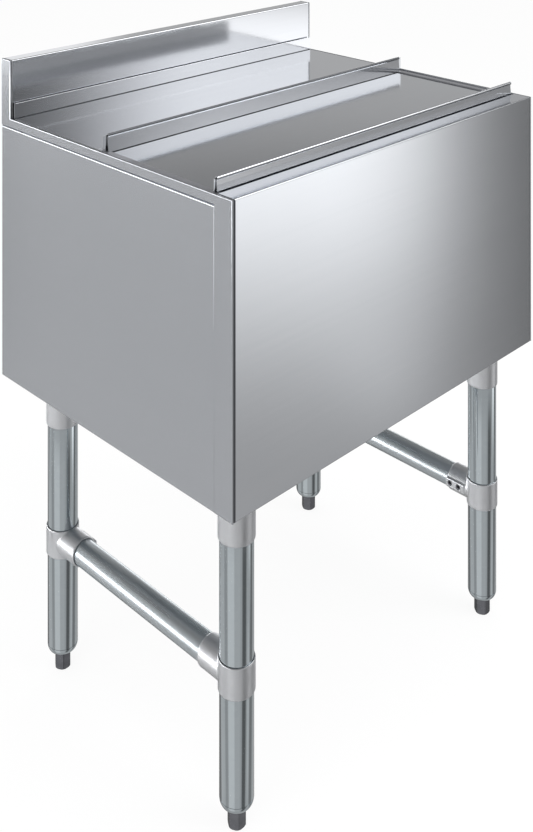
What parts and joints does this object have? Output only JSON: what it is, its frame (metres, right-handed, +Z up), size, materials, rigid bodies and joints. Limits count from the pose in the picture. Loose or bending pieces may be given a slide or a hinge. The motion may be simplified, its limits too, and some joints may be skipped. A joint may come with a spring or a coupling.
{
  "type": "underbar ice storage bin",
  "caption": "Stainless underbar ice bin: insulated tub in a folded casing with a backsplash and sliding lids, on tubular legs with side braces.",
  "frame": {"origin": "on the floor, under the middle of the bin's width and depth, at the level of the feet's bottoms", "axes": "+Z up; -Y is the front, where the user stands; +X is the user's right when facing the bin"},
  "size_m": [0.6096, 0.47, 0.8395],
  "materials": {
    "brushed_stainless": "satin",
    "polished_stainless": "polished",
    "tube_steel": "satin",
    "cast_fitting": "matte",
    "galvanised_steel": "satin",
    "dark_screw": "satin",
    "dark_foot": "satin",
    "black_nylon": "matte",
    "insulation_foam": "matte",
    "black_rubber": "matte"
  },
  "bodies": {
    "bin_body": {"front_panel": "brushed_stainless", "left_side_panel": "brushed_stainless", "right_side_panel": "brushed_stainless", "left_end_frame": "brushed_stainless", "right_end_frame": "brushed_stainless", "backsplash": "polished_stainless", "back_panel": "brushed_stainless", "bottom_panel": "galvanised_steel", "ice_liner": "polished_stainless", "insulation_foam": "insulation_foam", "drain_body": "polished_stainless", "drain_gasket": "black_rubber", "drain_locknut": "galvanised_steel", "drain_strainer": "polished_stainless", "left_lid_track": "brushed_stainless", "left_glide_strip": "black_nylon", "right_lid_track": "brushed_stainless", "right_glide_strip": "black_nylon", "left_leg_channel": "galvanised_steel", "right_leg_channel": "galvanised_steel", "front_left_leg_socket": "cast_fitting", "front_left_leg_tube": "tube_steel", "front_left_foot_insert": "tube_steel", "front_left_socket_screw": "dark_screw", "front_left_brace_tee": "cast_fitting", "front_left_tee_screw_1": "dark_screw", "front_left_tee_screw_2": "dark_screw", "front_right_leg_socket": "cast_fitting", "front_right_leg_tube": "tube_steel", "front_right_foot_insert": "tube_steel", "front_right_socket_screw": "dark_screw", "front_right_brace_tee": "cast_fitting", "front_right_tee_screw_1": "dark_screw", "front_right_tee_screw_2": "dark_screw", "back_left_leg_socket": "cast_fitting", "back_left_leg_tube": "tube_steel", "back_left_foot_insert": "tube_steel", "back_left_socket_screw": "dark_screw", "back_left_brace_tee": "cast_fitting", "back_left_tee_screw_1": "dark_screw", "back_left_tee_screw_2": "dark_screw", "back_right_leg_socket": "cast_fitting", "back_right_leg_tube": "tube_steel", "back_right_foot_insert": "tube_steel", "back_right_socket_screw": "dark_screw", "back_right_brace_tee": "cast_fitting", "back_right_tee_screw_1": "dark_screw", "back_right_tee_screw_2": "dark_screw", "left_cross_brace": "tube_steel", "right_cross_brace": "tube_steel"},
    "front_lid": {"front_lid_panel": "polished_stainless", "front_lid_handle": "polished_stainless"},
    "rear_lid": {"rear_lid_panel": "polished_stainless", "rear_lid_handle": "polished_stainless", "rear_lid_back_flange": "polished_stainless"},
    "front_left_foot": {"front_left_levelling_foot": "dark_foot"},
    "front_right_foot": {"front_right_levelling_foot": "dark_foot"},
    "back_left_foot": {"back_left_levelling_foot": "dark_foot"},
    "back_right_foot": {"back_right_levelling_foot": "dark_foot"}
  },
  "joints": [
    {"name": "front_lid_slide", "type": "slide", "parent": "bin_body", "child": "front_lid", "axis": [0, 1, 0], "range_m": [0, 0.188]},
    {"name": "rear_lid_slide", "type": "slide", "parent": "bin_body", "child": "rear_lid", "axis": [0, 1, 0], "range_m": [-0.203, 0]},
    {"name": "front_left_foot_screw_out", "type": "slide", "parent": "bin_body", "child": "front_left_foot", "axis": [0, 0, -1], "range_m": [0, 0.025]},
    {"name": "front_right_foot_screw_out", "type": "slide", "parent": "bin_body", "child": "front_right_foot", "axis": [0, 0, -1], "range_m": [0, 0.025]},
    {"name": "back_left_foot_screw_out", "type": "slide", "parent": "bin_body", "child": "back_left_foot", "axis": [0, 0, -1], "range_m": [0, 0.025]},
    {"name": "back_right_foot_screw_out", "type": "slide", "parent": "bin_body", "child": "back_right_foot", "axis": [0, 0, -1], "range_m": [0, 0.025]}
  ]
}
